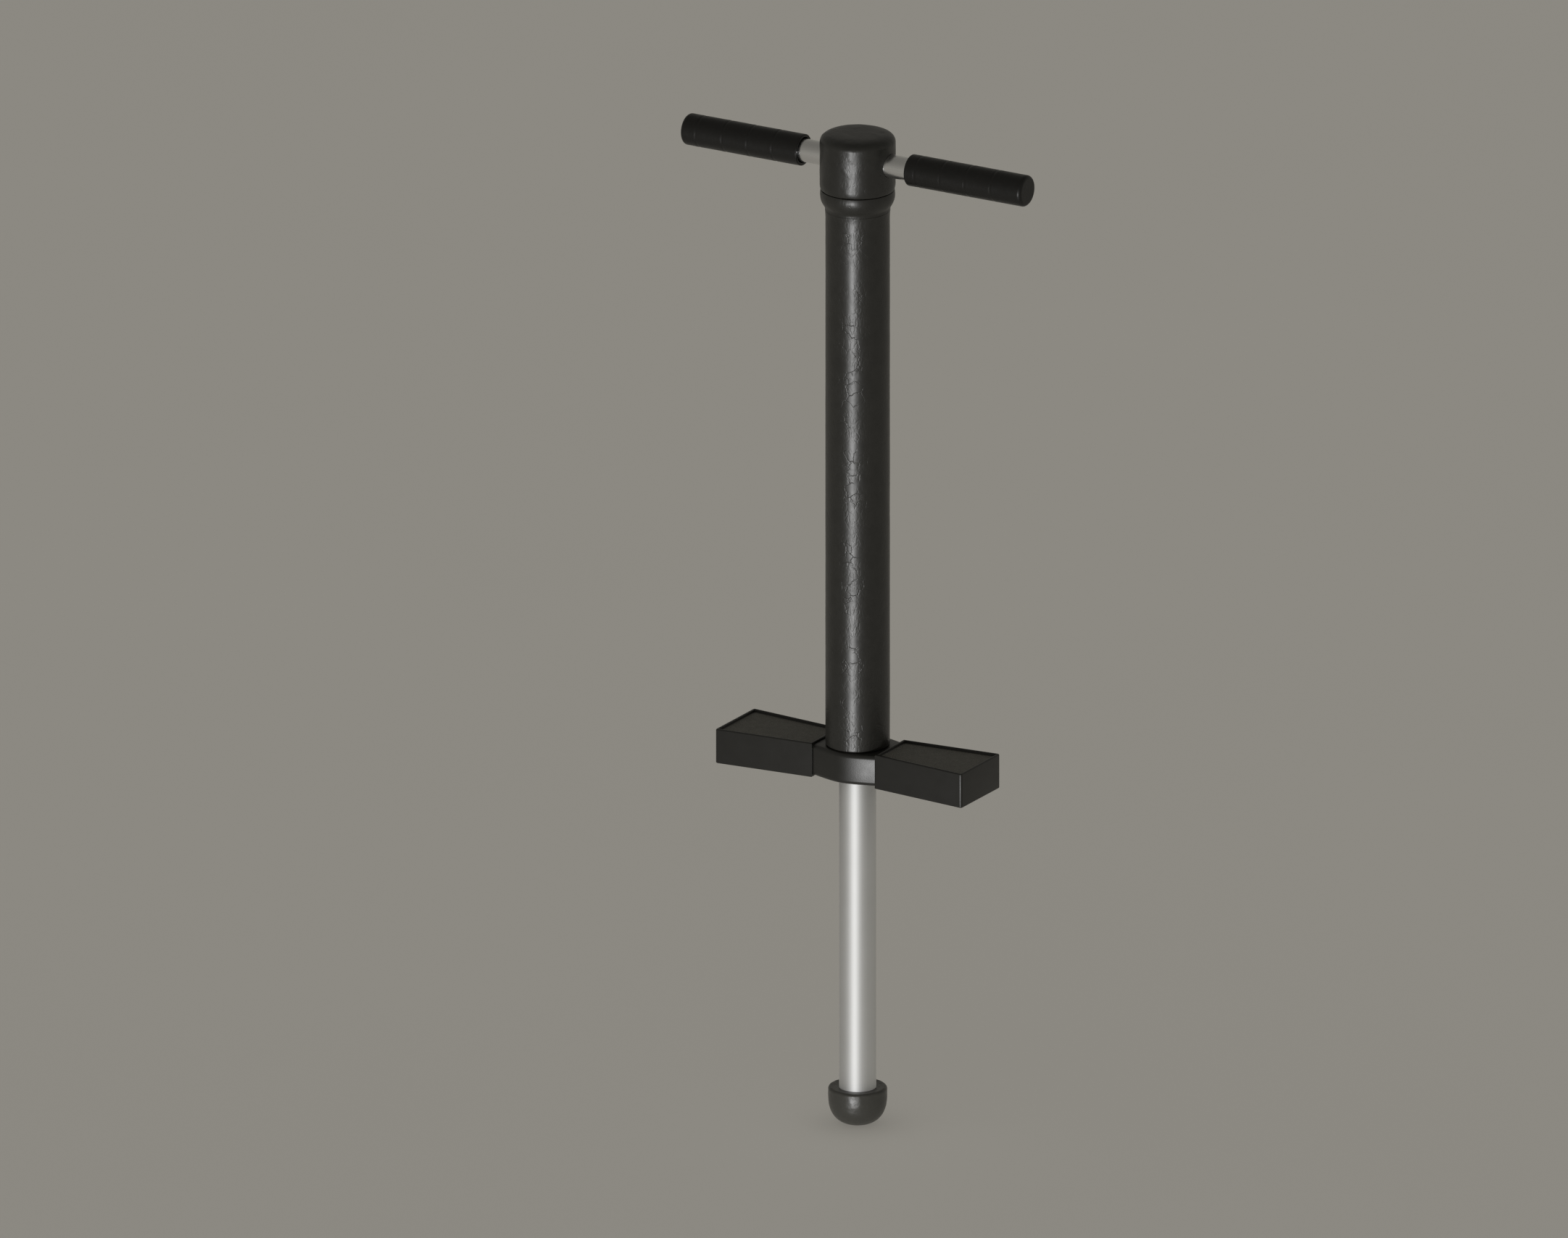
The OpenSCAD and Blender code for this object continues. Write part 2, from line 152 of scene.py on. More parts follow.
def rod_between(name, start, end, r):
    """A plain round bar, for cutting holes."""
    start, end, n = Vector(start), Vector(end), 64
    turn = (end - start).to_track_quat("Z", "Y")
    circle = [turn @ Vector((x, y, 0)) for x, y in arc(0, 0, r, 0, 360 - 360 / n, n - 1)]
    return skin(name, [[tuple(at + step) for step in circle] for at in (start, end)])


def prism(name, outline, z0, z1):
    """An upright prism, for cutting pockets."""
    return skin(name, [[(x, y, z) for x, y in outline] for z in (z0, z1)])


def half_turn(piece):
    """Turns a piece half round the stick's axis, to make the left one of a pair."""
    for v in piece.data.vertices:
        v.co.x, v.co.y = -v.co.x, -v.co.y


def ripple(p, size, depth):
    """A smooth noise of that depth, whose waves are about size metres long."""
    return depth * noise.noise(p / size)


def creases(p, size):
    """From 0 to 1 along the thin lines of an irregular net of cells about size across."""
    line, bend = 0.2, 0.5
    q = p / size + bend * noise.noise_vector(p / (1.6 * size))
    near = noise.voronoi(q)[0]
    return max(0.0, 1 - (near[1] - near[0]) / line)


def vinyl_relief(p):
    """The cover's slow waves, and its thin creases, which come in patches."""
    patch = smooth((noise.noise(p / 0.028 + Vector((3, 8, 1))) + 0.05) / 0.35)
    waves = ripple(p, 0.034, 0.10) + ripple(p, 0.012, 0.06)
    return (waves - 0.09 * patch * creases(p, 0.0085)) * MM


def soft_relief(p):
    """The dents and ripples of the moulded head, stronger in patches."""
    patch = smooth((noise.noise(p / 0.02 + Vector((5, 2, 7))) + 0.1) / 0.3)
    waves = ripple(p, 0.0085, 0.26) + ripple(p, 0.0035, 0.07)
    return (waves * (0.35 + 0.65 * patch) - 0.05 * patch * creases(p, 0.006)) * MM


# ---------------------------------------------------------------- finishes

class Look:
    """A procedural material on the Principled shader, patterned in the object's own metres."""

    def __init__(self, name, metallic=0.0, ior=1.5):
        self.material = bpy.data.materials.new(name)
        self.material.use_nodes = True
        self.tree = self.material.node_tree
        self.shader = self.tree.nodes["Principled BSDF"]
        self.shader.inputs["Metallic"].default_value = metallic
        self.shader.inputs["IOR"].default_value = ior
        self.coords = self.put("TexCoord", {}, "Object")
        self.normal = None

    def put(self, kind, inputs, out=0, **settings):
        """Adds a node. An input is a number, a list of numbers, or another node's output."""
        node = self.tree.nodes.new("ShaderNode" + kind)
        for key, value in settings.items():
            setattr(node, key, value)
        for key, value in inputs.items():
            if isinstance(value, bpy.types.NodeSocket):
                self.tree.links.new(value, node.inputs[key])
            else:
                node.inputs[key].default_value = value
        return node.outputs[out]

    def stretched(self, scale):
        """Coordinates scaled differently along X, Y and Z."""
        return self.put("Mapping", {"Vector": self.coords, "Scale": scale})

    def warped(self, size, amount):
        """Coordinates pushed about by a noise, so that a net of cells looks grown."""
        push = self.put("TexNoise", {"Vector": self.coords, "Scale": 1 / size}, "Color")
        scaled = self.put("VectorMath", {0: push, "Scale": amount}, operation="SCALE")
        return self.put("VectorMath", {0: scaled, 1: self.coords}, operation="ADD")

    def grain(self, size, detail=3.0, rough=0.5, coords=None):
        """A noise from 0 to 1 whose features are about size metres across."""
        return self.put("TexNoise", {"Vector": coords or self.coords, "Scale": 1 / size,
                                     "Detail": detail, "Roughness": rough}, "Fac")

    def cells(self, size, coords=None):
        """The distance from the edges of an irregular net, in cell widths."""
        return self.put("TexVoronoi", {"Vector": coords or self.coords, "Scale": 1 / size},
                        "Distance", feature="DISTANCE_TO_EDGE")

    def spots(self, size):
        """The distance from the middles of scattered grains, in cell widths."""
        return self.put("TexVoronoi", {"Vector": self.coords, "Scale": 1 / size}, "Distance")

    def fit(self, value, low, high, to_low=0.0, to_high=1.0):
        """A value's low to high range carried to another."""
        return self.put("MapRange", {"Value": value, "From Min": low, "From Max": high,
                                     "To Min": to_low, "To Max": to_high})

    def times(self, a, b):
        return self.put("Math", {0: a, 1: b}, operation="MULTIPLY")

    def blend(self, a, b, weight=1.0):
        """a + b * weight."""
        return self.put("Math", {0: b, 1: weight, 2: a}, operation="MULTIPLY_ADD")

    def colour(self, factor, low, high):
        """The base colour, from low to high by a factor."""
        out = self.put("ValToRGB", {"Fac": factor})
        out.node.color_ramp.elements[0].color = (*low, 1)
        out.node.color_ramp.elements[1].color = (*high, 1)
        self.tree.links.new(out, self.shader.inputs["Base Color"])

    def rough(self, factor, low, high):
        self.tree.links.new(self.fit(factor, 0.2, 0.8, low, high), self.shader.inputs["Roughness"])

    def bump(self, height, depth, strength=1.0):
        """Raises the surface by depth metres where height goes from 0 to 1."""
        inputs = {"Height": height, "Distance": depth, "Strength": strength}
        if self.normal:
            inputs["Normal"] = self.normal
        self.normal = self.put("Bump", inputs)
        self.tree.links.new(self.normal, self.shader.inputs["Normal"])


def vinyl(name, low, high, net):
    """Soft black plastic skin: short fine creases, a few long ones, dull and shiny patches."""
    look = Look(name)
    patch = look.fit(look.grain(0.016, 2.0), 0.40, 0.56)
    look.colour(look.blend(look.grain(0.006, 4.0), patch, 0.3), low, high)
    look.rough(look.grain(0.012, 4.0, 0.6), 0.35, 0.41)
    grown = look.warped(0.0035, 0.003)
    lengthwise = look.put("Mapping", {"Vector": grown, "Scale": (1, 1, 0.45)})
    short = look.fit(look.cells(0.0036, lengthwise), 0.0, 0.20)
    look.bump(look.blend(look.times(short, patch), patch, -1.0), net, 0.8)
    rare = look.fit(look.grain(0.021, 1.0), 0.5, 0.56)
    long = look.fit(look.cells(0.0125, look.warped(0.005, 0.006)), 0.0, 0.05)
    look.bump(look.blend(look.times(long, rare), rare, -1.0), 1.6 * net, 0.9)
    look.bump(look.grain(0.0022, 3.0, 0.6, look.stretched((1, 1, 0.6))), 0.35 * net)
    return look.material


def moulded(name, low, high, fine=0.00005, rough=(0.36, 0.46)):
    """Moulded plastic: an even spark-eroded grain with faint flow marks and handling wear."""
    look = Look(name)
    look.colour(look.grain(0.02, 5.0, 0.6), low, high)
    look.rough(look.grain(0.009, 4.0), *rough)
    look.bump(look.grain(0.03, 2.0), 0.0004, 0.35)
    look.bump(look.grain(0.0011, 2.0, 0.6), fine)
    return look.material


def rubber(name, low, high, rough, fine=0.00012, size=0.0016, ior=1.5):
    """Rubber: dusty mottled tone, a dull uneven grain and small pits."""
    look = Look(name, ior=ior)
    look.colour(look.blend(look.grain(0.004, 5.0, 0.65), look.grain(0.03), 0.35), low, high)
    look.rough(look.grain(0.006, 4.0), *rough)
    look.bump(look.fit(look.spots(size * 3), 0.0, 0.35), fine * 0.6, 0.6)
    look.bump(look.grain(size, 4.0, 0.6), fine)
    return look.material


def metal(name, low, high, rough, lengthwise=(1, 1, 1), fine=0.00001, size=0.0006):
    """Bare metal: brushed or drawn lines lengthwise, dull patches and faint smears."""
    look = Look(name, metallic=1.0)
    lines = look.grain(size, 3.0, 0.6, look.stretched(lengthwise))
    look.colour(look.blend(look.times(lines, 0.6), look.grain(0.02, 4.0), 0.45), low, high)
    look.rough(look.blend(look.times(lines, 0.5), look.grain(0.015, 3.0), 0.5), *rough)
    look.bump(lines, fine)
    return look.material


def turned_metal(name, low, high, rough, spread):
    """A bar polished round its length, which spreads its highlight along it."""
    look = Look(name, metallic=1.0)
    lines = look.grain(0.0004, 3.0, 0.6, look.stretched((0.02, 0.02, 1)))
    look.colour(look.blend(look.times(lines, 0.5), look.grain(0.02, 4.0), 0.5), low, high)
    look.rough(look.blend(look.times(lines, 0.4), look.grain(0.03, 3.0), 0.6), *rough)
    look.bump(lines, 0.000004)
    look.shader.inputs["Anisotropic"].default_value = spread
    look.shader.inputs["Anisotropic Rotation"].default_value = 0.25
    around = look.put("Tangent", {}, direction_type="RADIAL", axis="Z")
    look.tree.links.new(around, look.shader.inputs["Tangent"])
    return look.material


def gritted(name, low, high):
    """Non-slip tread: sharp grains bonded in a dark coat, the grains paler than the coat."""
    look = Look(name)
    grit = look.fit(look.spots(0.0011), 0.15, 0.6, 1.0, 0.0)
    coarse = look.fit(look.spots(0.0027), 0.1, 0.45, 1.0, 0.0)
    look.colour(look.blend(look.times(grit, 0.45), look.grain(0.008, 4.0), 0.5), low, high)
    look.rough(look.grain(0.003, 3.0), 0.6, 0.8)
    look.bump(coarse, 0.0002, 0.6)
    look.bump(grit, 0.00025, 0.9)
    return look.material


def foam(name, low, high):
    """Closed-cell foam: round open pore holes, each with painted shade darkening it inside."""
    look = Look(name)
    pores_and_pore_shade = look.fit(look.spots(0.0012), 0.1, 0.5)
    # Painted shade: the colour is darkest in the middle of each pore, where the bump sinks the
    # surface.
    look.colour(pores_and_pore_shade, low, high)
    look.rough(look.grain(0.004), 0.85, 0.95)
    look.bump(pores_and_pore_shade, 0.0003)
    return look.material


LOOKS = {
    "cover_vinyl": vinyl("cover_vinyl", (0.0120, 0.0116, 0.0100), (0.0190, 0.0185, 0.0160),
                         net=0.00007),
    "head_plastic": vinyl("head_plastic", (0.0115, 0.0112, 0.0096), (0.0175, 0.0170, 0.0147),
                          net=0.00005),
    "pedal_plastic": moulded("pedal_plastic", (0.0085, 0.0082, 0.0070), (0.0140, 0.0135, 0.0118),
                             rough=(0.35, 0.41)),
    "hub_plastic": moulded("hub_plastic", (0.0110, 0.0107, 0.0094), (0.0165, 0.0160, 0.0140),
                           rough=(0.34, 0.40)),
    "grip_rubber": rubber("grip_rubber", (0.0045, 0.0043, 0.0038), (0.0095, 0.0091, 0.0083),
                          rough=(0.34, 0.42), size=0.001, ior=1.38),
    "foot_rubber": rubber("foot_rubber", (0.038, 0.0375, 0.0330), (0.052, 0.0510, 0.0450),
                          rough=(0.33, 0.39), fine=0.00009),
    "tread_rubber": gritted("tread_grit", (0.085, 0.083, 0.074), (0.215, 0.209, 0.186)),
    "rod_steel": turned_metal("rod_steel", (0.95, 0.955, 0.955), (0.99, 0.995, 0.995),
                              rough=(0.80, 0.85), spread=0.78),
    "bar_steel": metal("bar_steel", (0.74, 0.74, 0.735), (0.82, 0.82, 0.815),
                       rough=(0.20, 0.27), lengthwise=(0.02, 1, 1)),
    "tube_steel": metal("tube_steel", (0.24, 0.235, 0.22), (0.36, 0.35, 0.33),
                        rough=(0.45, 0.6), lengthwise=(1, 1, 0.05)),
    "zinc_steel": metal("zinc_steel", (0.36, 0.36, 0.33), (0.50, 0.50, 0.46),
                        rough=(0.32, 0.45), size=0.002, fine=0.00002),
    "spring_steel": metal("spring_steel", (0.10, 0.10, 0.095), (0.20, 0.20, 0.19),
                          rough=(0.35, 0.5), lengthwise=(1, 1, 0.3), size=0.002),
    "nylon": moulded("nylon", (0.50, 0.48, 0.42), (0.62, 0.60, 0.54), fine=0.00003),
    # The darker foam colour is the painted shade inside the pore holes.
    "foam": foam("foam", (0.03, 0.03, 0.03), (0.09, 0.09, 0.088)),
}
SLOTS = {row["node"]: row["material_slot"] for row in frame["record"]["subparts"]}
for name, node in nodes.items():
    node.data.materials.clear()
    node.data.materials.append(LOOKS[SLOTS[name]])


def finish(piece, body, *stands_for):
    """Gives a piece its finish and its body, and hides the CAD nodes that it stands for."""
    piece.data.materials.clear()
    piece.data.materials.append(LOOKS[SLOTS[stands_for[0]]])
    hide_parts(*stands_for)
    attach(piece, body)
    return piece


# ---------------------------------------------------------------- sizes shared by the pieces

low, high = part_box("tube_cover")
cover_z0, cover_z1, skin_r = low.z, high.z, high.x + 0.3 * MM
inside_r, seam_gap = skin_r - 1.7 * MM, 0.1 * MM
low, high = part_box("handlebar")
bar_z, bar_r = (low.z + high.z) / 2, (high.z - low.z) / 2
rod_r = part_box("piston_rod")[1].x
low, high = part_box("pedal_right")
rest_in, rest_out, rest_wide, rest_z0, rest_z1 = low.x, high.x, high.y, low.z, high.z
rest_narrow = 26.9 * MM
low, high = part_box("tread_right")
deck, tread_z = low.z, high.z + 0.5 * MM
rim, seat = 2.6 * MM, 3.6 * MM


# ---------------------------------------------------------------- cover, ring and cap

def cover_sleeve():
    """The padded cover: rounded at its lower end, swelling a little towards the ring."""
    hem, swell, swell_z = 1.5 * MM, 0.45 * MM, 9 * MM
    outer = [(skin_r + swell * max(0.0, (z - cover_z1 + swell_z) / swell_z) ** 2, z)
             for z in steps(cover_z0 + hem + 0.3 * MM, cover_z1, 430)]
    profile = [(inside_r - 3 * MM, cover_z0 + seam_gap)]
    profile += arc(skin_r - hem, cover_z0 + seam_gap + hem, hem, -90, -8, 6)
    profile += outer + [(inside_r, cover_z1), (inside_r, cover_z0 + 3 * MM)]
    cover = turned("cover_sleeve", profile, n=160, loop=True)

    def relief(p):
        shown = p.xy.length > skin_r - MM and p.z < cover_z1 - 0.2 * MM
        return vinyl_relief(p) if shown else 0.0

    carve(cover, relief)
    finish(cover, "frame", "tube_cover")


def neck_ring():
    """The flared ring: a hollow curve out of the cover, then a bulge up to a rounded lip."""
    low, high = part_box("neck_collar")
    wide_r, z0, top = high.x, low.z, high.z + 1.1 * MM
    neck_r, bulge, hollow, lip, tip = skin_r + 0.4 * MM, 19 * MM, 7.5 * MM, 0.8 * MM, 12
    wide_z = top - lip - (bulge - lip) * math.sin(math.radians(tip))
    swing = math.acos(1 - (wide_r - neck_r) / (bulge + hollow))
    neck_z, swing_degrees = wide_z - (bulge + hollow) * math.sin(swing), math.degrees(swing)
    lip_r = wide_r - bulge + (bulge - lip) * math.cos(math.radians(tip))
    profile = [(inside_r, z0 + seam_gap), (neck_r - 0.1 * MM, z0 + seam_gap)]
    profile += arc(neck_r + hollow, neck_z, hollow, 180, 180 - swing_degrees, 12)
    profile += arc(wide_r - bulge, wide_z, bulge, 1 - swing_degrees, tip, 24)
    profile += arc(lip_r, top - lip, lip, tip + 8, 90, 5)
    ring = turned("neck_ring", profile + [(inside_r, top)], n=144, loop=True)
    carve(ring, soft_relief)
    finish(ring, "frame", "neck_collar")


def cap_shell():
    """The domed cap: its wall tucks in at the bottom, and the bar runs through it."""
    low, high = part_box("head_cap")
    r, z0, top = high.x, low.z + 1.2 * MM, high.z
    dome, flatness, fullness = 9.5 * MM, 5.5, 2.4
    tuck, tuck_z, edge, wall, hollow_z = 0.8 * MM, 6 * MM, 0.6 * MM, 3 * MM, 6 * MM

    def wall_r(z):
        return r - tuck * max(0.0, 1 - (z - z0) / tuck_z) ** 2

    def dome_z(u):
        """The top's height at a share u of the cap's radius."""
        return top - dome * (1 - (1 - u ** flatness) ** (1 / fullness))

    profile = [(0.5 * MM, z0 + hollow_z), (r - wall, z0 + hollow_z), (r - wall, z0 + 0.5 * MM)]
    profile += arc(r - tuck - edge, z0 + edge, edge, -100, -15, 6)
    profile += [(wall_r(z), z) for z in steps(z0 + 0.8 * MM, top - dome - 0.3 * MM, 60)]
    profile += [(r * u, dome_z(u)) for u in map(math.cos, steps(0.03, 0.5 * math.pi - 0.02, 64))]
    cap = turned("cap_shell", profile, n=160)
    carve(cap, soft_relief)
    beyond = 50 * MM
    cut(cap, rod_between("hole", (-beyond, 0, bar_z), (beyond, 0, bar_z), bar_r + 0.25 * MM))
    finish(cap, "frame", "head_cap")


cover_sleeve()
neck_ring()
cap_shell()


# ---------------------------------------------------------------- grips

def grip(name, node, side, seams):
    """A moulded grip with faint raised bands between its seams, open at its inner end."""
    low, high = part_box(node)
    r, z = (high.z - low.z) / 2, (high.z + low.z) / 2
    inner, outer = min(abs(low.x), abs(high.x)), max(abs(low.x), abs(high.x))
    places = [inner + share * (outer - inner) for share in seams]

    def swell(x, centre, width):
        return math.exp(-((x - centre) / width) ** 2)

    def radius(x):
        grooves = sum(swell(x, place, 0.9 * MM) for place in places)
        bands = sum(swell(x, place + 2.4 * MM, 1.8 * MM) for place in places)
        return r - 0.12 * MM - 0.22 * MM * grooves + 0.07 * MM * bands

    end, lip, edge, bore, depth = 3.6 * MM, 0.7 * MM, 0.9 * MM, bar_r + 0.2 * MM, 9 * MM
    profile = [(0.4 * MM, inner + depth), (bore, inner + depth), (bore, inner + 3 * MM)]
    profile += arc(bar_r + 1.2 * MM + lip, inner + lip, lip, 180, 270, 5)
    profile += arc(radius(inner) - edge, inner + edge, edge, 270, 360, 6)
    profile += [(radius(x), x) for x in steps(inner + 1.4 * MM, outer - end - 0.3 * MM, 230)]
    profile += arc(radius(outer) - end, outer - end, end, 0, 88, 12)
    profile += [((r - end) * t, outer) for t in steps(0.93, 0.03, 10)]
    sleeve = turned(name, profile, n=96, along="X", height=z)

    def relief(p):
        if math.hypot(p.y, p.z - z) < r - 1.5 * MM:
            return 0.0
        dent = noise.noise(Vector((p.x / 0.012, p.y / 0.009, p.z / 0.009)))
        return 0.08 * MM * dent + ripple(p, 0.003, 0.03 * MM)

    carve(sleeve, relief)
    if side < 0:
        half_turn(sleeve)
    finish(sleeve, "frame", node)


grip("right_grip_sleeve", "grip_right", 1, (0.087, 0.305, 0.517, 0.739))
grip("left_grip_sleeve", "grip_left", -1, (0.21, 0.425, 0.64, 0.865))


# ---------------------------------------------------------------- hub

def hub_casting():
    """The hub: round in front of the tube with ever flatter flanks, and a stepped bore."""
    low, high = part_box("footrest_hub")
    half, depth, z0, z1 = high.x, high.y, low.z, high.z
    steepest, ease, edge = 0.375, 12 * MM, 4.2 * MM
    socket_r, bore_r, mouth_r, floor_z = 25.4 * MM, 18.25 * MM, 19.1 * MM, 4 * MM

    def front(x):
        return depth - steepest * (abs(x) + ease * (math.exp(-abs(x) / ease) - 1))

    def ring(inset, z):
        d = front(half) - inset
        points = [(x, inset - front(x), z) for x in steps(-half, half, 90)]
        points += [(half, d * t, z) for t in steps(-1, 1, 12)[1:-1]]
        return points + [(-x, -y, z) for x, y, z in points]

    def bore(r, z):
        return [(r * x / math.hypot(x, y), r * y / math.hypot(x, y), z) for x, y, _ in ring(0, z)]

    rings = [bore(socket_r, z1), bore(socket_r, z0 + floor_z), bore(bore_r, z0 + floor_z),
             bore(bore_r, z0 + 0.8 * MM), bore(mouth_r, z0)]
    rings += [ring(edge - y, z) for y, z in arc(0, z0 + edge, edge, -90, 0, 7)]
    rings += [ring(edge - y, z) for y, z in arc(0, z1 - edge, edge, 0, 90, 7)]
    hub = skin("hub_casting", rings, loop=True, sharp=50)
    screw_z = (z0 + z1) / 2
    hole = rod_between("hole", (0, 24.5 * MM, screw_z), (0, 50 * MM, screw_z), 4.05 * MM)
    cut(hub, hole, sharp=50)
    finish(hub, "frame", "footrest_hub")


hub_casting()


# ---------------------------------------------------------------- footrests

def rest_depth(x):
    return rest_narrow + (rest_wide - rest_narrow) * (x - rest_in) / (rest_out - rest_in)


def rest_ring(inset, z, corner=2.5 * MM):
    """A footrest's outline moved inwards: almost sharp corners at the hub, rounded outer ones."""
    x0, x1 = rest_in + inset, rest_out - inset
    y0, y1 = rest_depth(x0) - inset, rest_depth(x1) - inset
    a, b, n = 0.08 * MM, max(corner - inset, 0.5 * MM), 9
    outline = (arc(x0 + a, -y0 + a, a, 180, 275, n) + arc(x1 - b, -y1 + b, b, 275, 360, n)
               + arc(x1 - b, y1 - b, b, 0, 85, n) + arc(x0 + a, y0 - a, a, 85, 180, n))
    return [(x, y, z) for x, y in outline]


def footrest(name, node, side):
    """A moulded footrest: rounded edges, a thin rim round the sunken deck, ribs below."""
    edge, lip, fillet, corner = 1.3 * MM, 0.7 * MM, 0.6 * MM, 3.1 * MM
    rings = [rest_ring(edge - y, z) for y, z in arc(0, rest_z0 + edge, edge, -90, 0, 6)]
    rings += [rest_ring(edge - y, z) for y, z in arc(0, rest_z1 - edge, edge, 0, 90, 6)]
    rings += [rest_ring(rim - lip + y, z, corner) for y, z in arc(0, rest_z1 - lip, lip, 90, 0, 4)]
    rings += [rest_ring(seat - y, z, corner)
              for y, z in arc(0, tread_z + fillet, fillet, 10, -90, 5)]
    rings += [rest_ring(seat, deck, corner)]
    block = skin(name, rings, sharp=50)

    low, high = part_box("footrest_arms")
    arm_x, arm_y, arm_z = high.x, high.y, high.z
    inner, below = rest_in - 10 * MM, rest_z0 - 10 * MM
    channel = [(inner, -arm_y), (arm_x, -arm_y), (arm_x, arm_y), (inner, arm_y)]
    cutters = [prism("channel", channel, below, arm_z)]
    wall, bays = 3.2 * MM, 3
    bay = (rest_out - rest_in - wall) / bays
    for i in range(bays):
        x0, x1 = rest_in + wall + bay * i, rest_in + bay * (i + 1)
        corners = [(x0, arm_y + wall), (x1, arm_y + wall),
                   (x1, rest_depth(x1) - wall), (x0, rest_depth(x0) - wall)]
        for way in (-1, 1):
            outline = [(x, way * y) for x, y in corners][::way]
            cutters.append(prism("pocket", outline, below, deck - 4 * MM))
    cut(block, *cutters, sharp=50)
    if side < 0:
        half_turn(block)
    finish(block, "frame", node)


def grit(name, node, side):
    """The tread: a sheet of bonded grit that fills the deck inside the rim."""
    inset, corner, across = seat + 0.05 * MM, 1.6 * MM, 84
    x0, x1 = rest_in + inset, rest_out - inset

    def limit(x):
        """Half the sheet's width at x, less what its rounded corners take."""
        into = max(corner - min(x - x0, x1 - x), 0)
        taken = corner - math.sqrt(max(corner * corner - into ** 2, 0))
        return rest_depth(x) - inset - taken

    xs = [x0] + steps(x0 + 0.2 * MM, x1 - 0.2 * MM, 118) + [x1]
    points = [(x, limit(x) * t, tread_z + 0.1 * MM) for x in xs for t in steps(-1, 1, across)]
    top, last, w = len(points), len(xs) - 1, across + 1
    faces = [(i * w + j, (i + 1) * w + j, (i + 1) * w + j + 1, i * w + j + 1)
             for i in range(last) for j in range(across)]
    border = ([i * w for i in range(last + 1)] + [last * w + j for j in range(1, w)]
              + [i * w + across for i in range(last - 1, -1, -1)] + list(range(across - 1, 0, -1)))
    points += [(points[k][0], points[k][1], deck + 0.05 * MM) for k in border]
    n = len(border)
    faces += [(border[k], top + k, top + (k + 1) % n, border[(k + 1) % n]) for k in range(n)]
    faces.append(tuple(top + k for k in range(n - 1, -1, -1)))
    sheet = solid(name, points, faces, sharp=180)
    inner = set(range(top)) - set(border)
    for v in sheet.data.vertices:
        if v.index in inner:
            p = v.co.copy()
            speck = max(0.0, 1 - noise.voronoi(p / 0.0019)[0][0] / 0.45)
            v.co.z += (0.16 * speck + ripple(p, 0.009, 0.05)) * MM
    if side < 0:
        half_turn(sheet)
    finish(sheet, "frame", node)


footrest("right_footrest", "pedal_right", 1)
footrest("left_footrest", "pedal_left", -1)
grit("right_tread_grit", "tread_right", 1)
grit("left_tread_grit", "tread_left", -1)


# ---------------------------------------------------------------- foot

def foot_bumper():
    """The rubber foot: a full bowl, a rounded lip, and a top that falls gently to the rod."""
    low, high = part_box("foot_tip")
    r, top = high.x, high.z + 0.8 * MM
    bowl_z, power, lip, dish = 30 * MM, 2 / 2.6, 2.6 * MM, 0.07
    groove_r, groove_width, groove_depth = 21.3 * MM, 0.6 * MM, 0.08 * MM

    def top_z(x):
        groove = groove_depth * math.exp(-((x - groove_r) / groove_width) ** 2)
        return top - dish * (r - lip - x) - groove

    profile = [(r * math.sin(a) ** power, bowl_z * (1 - math.cos(a) ** power))
               for a in (math.radians(1.5 * i) for i in range(1, 61))]
    profile += [(r, z) for z in steps(bowl_z + 0.5 * MM, top - lip - 0.3 * MM, 4)]
    profile += arc(r - lip, top - lip, lip, 8, 98, 9)
    profile += [(x, top_z(x)) for x in steps(r - lip - 0.7 * MM, rod_r + 0.2 * MM, 26)]
    foot = turned("foot_bumper", profile + [(rod_r + 0.15 * MM, top - 6 * MM)], n=160)

    def relief(p):
        shown = p.xy.length > rod_r + 2 * MM and p.z > MM
        return (ripple(p, 0.009, 0.12) + ripple(p, 0.0035, 0.15)) * MM if shown else 0.0

    carve(foot, relief)
    finish(foot, "plunger", "foot_tip")
    # The light comes from a little below. The foot would shade the lower end of the rod.
    foot.visible_shadow = False


foot_bumper()


# ---------------------------------------------------------------- spring

def coil(name, node):
    """The main spring: closed end turns, then open ones, of round wire."""
    low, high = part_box(node)
    mean, wire, turns, per_turn, sides = 19 * MM, 3 * MM, 33, 36, 12
    rise, closed = high.z - low.z - 2 * wire, 2.08 * wire
    pitch = (rise - 2 * closed) / (turns - 2)

    def climb(u):
        """The wire's height after u turns."""
        if u < 1:
            return closed * u
        if u > turns - 1:
            return rise - closed * (turns - u)
        return closed + pitch * (u - 1)

    rings = []
    for i in range(turns * per_turn + 1):
        u, a = i / per_turn, 2 * math.pi * i / per_turn
        rings.append([(r * math.cos(a), r * math.sin(a), low.z + wire + climb(u) + dz)
                      for r, dz in arc(mean, 0, wire, 0, -360 + 360 / sides, sides - 1)])
    spring = finish(skin(name, rings), "frame", node)
    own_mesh(spring)


coil("spring_coil", "main_spring")


# ---------------------------------------------------------------- floor, light and camera

def studio_floor():
    """A plain pale floor. It glows a little, so that it stays even behind the object."""
    reach, thick = 9, 0.02
    corners = [(-reach, -reach), (reach, -reach), (reach, reach), (-reach, reach)]
    floor = skin("studio_floor", [[(x, y, z) for x, y in corners] for z in (-thick, 0)])
    paper = Look("floor_paper")
    paper.colour(paper.grain(0.6, 3.0), (0.535, 0.528, 0.515), (0.565, 0.558, 0.545))
    paper.rough(paper.grain(0.2), 0.85, 0.95)
    paper.bump(paper.grain(0.002, 3.0), 0.0001, 0.3)
    paper.shader.inputs["Emission Color"].default_value = (1.0, 0.955, 0.855, 1)
    paper.shader.inputs["Emission Strength"].default_value = 0.149
    floor.data.materials.append(paper.material)
    # The light comes from a little below. The floor mustn't shade the whole object.
    floor.visible_shadow = False


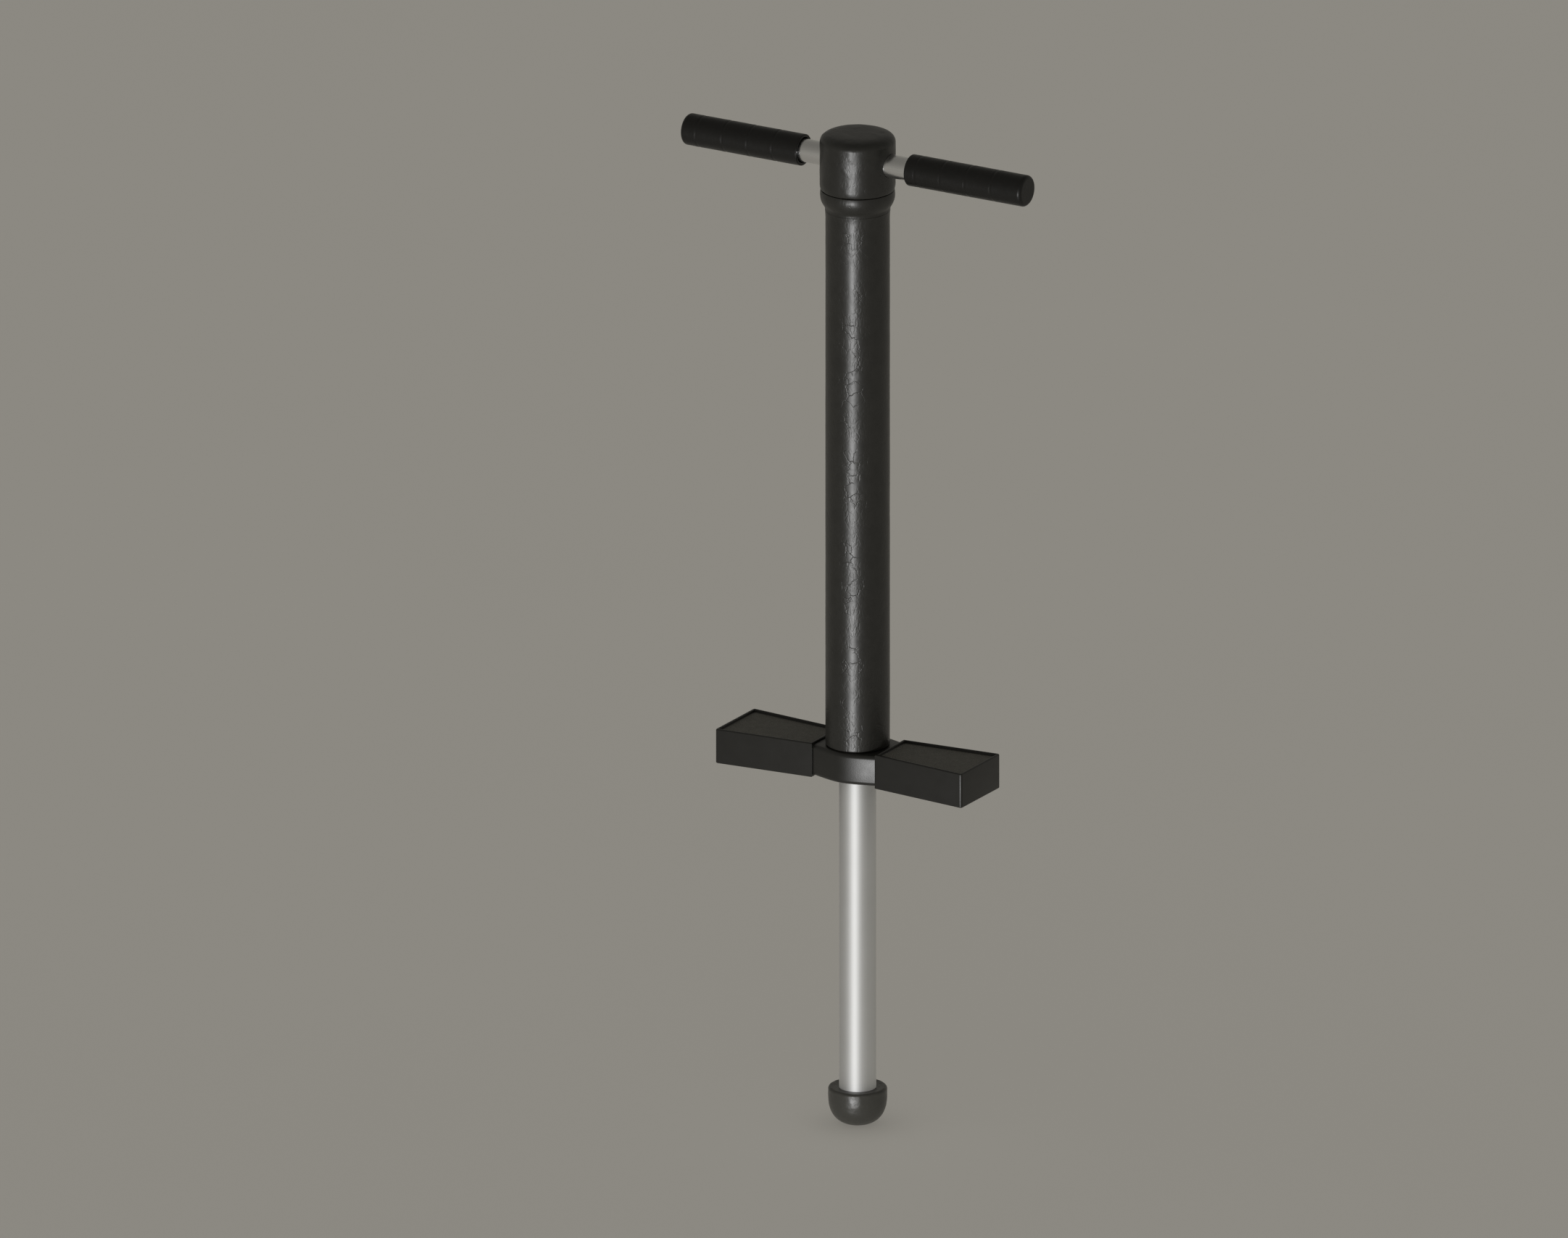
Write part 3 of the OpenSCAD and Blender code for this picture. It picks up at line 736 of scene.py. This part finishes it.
def surroundings():
    """Even warm light from all round, dimmer towards the top."""
    world = bpy.data.worlds.new("studio")
    world.use_nodes = True
    sky = world.node_tree
    way = sky.nodes.new("ShaderNodeTexCoord")
    split = sky.nodes.new("ShaderNodeSeparateXYZ")
    ramp = sky.nodes.new("ShaderNodeValToRGB")
    ramp.color_ramp.elements[0].color = (0.272, 0.262, 0.236, 1)
    ramp.color_ramp.elements[1].color = (0.160, 0.154, 0.140, 1)
    sky.links.new(way.outputs["Generated"], split.inputs["Vector"])
    sky.links.new(split.outputs["Z"], ramp.inputs["Fac"])
    sky.links.new(ramp.outputs["Color"], sky.nodes["Background"].inputs["Color"])
    scene.world = world


def direction(azimuth, elevation):
    """From the object towards a place round it. Azimuth 0 is the front, and 90 the +X side."""
    a, e = math.radians(azimuth), math.radians(elevation)
    return Vector((math.sin(a) * math.cos(e), -math.cos(a) * math.cos(e), math.sin(e)))


def sun(name, azimuth, elevation, strength, wide):
    """A distant lamp, wide degrees across."""
    light = bpy.data.lights.new(name, "SUN")
    light.energy, light.angle = strength, math.radians(wide)
    lamp = bpy.data.objects.new(name, light)
    lamp.rotation_mode = "QUATERNION"
    lamp.rotation_quaternion = direction(azimuth, elevation).to_track_quat("Z", "Y")
    scene.collection.objects.link(lamp)


def view_from(azimuth, elevation, across, aim, shift):
    """A camera without perspective, across metres wide, aimed shift metres beside a point."""
    towards = direction(azimuth, elevation)
    right = Vector((math.cos(math.radians(azimuth)), math.sin(math.radians(azimuth)), 0))
    eye = bpy.data.cameras.new("camera")
    eye.type = "ORTHO"
    eye.ortho_scale = across
    eye.clip_end = 60
    camera = bpy.data.objects.new("camera", eye)
    camera.rotation_mode = "QUATERNION"
    camera.rotation_quaternion = towards.to_track_quat("Z", "Y")
    camera.location = Vector(aim) + shift * right + 4 * towards
    scene.collection.objects.link(camera)
    scene.camera = camera


studio_floor()
surroundings()
sun("key_light", 12, -16, strength=1.65, wide=6)
view_from(30.37, 18.4, across=1.4709, aim=(0, 0, 0.4981), shift=-0.0691)
scene.view_settings.view_transform = "Standard"

bpy.context.view_layer.update()
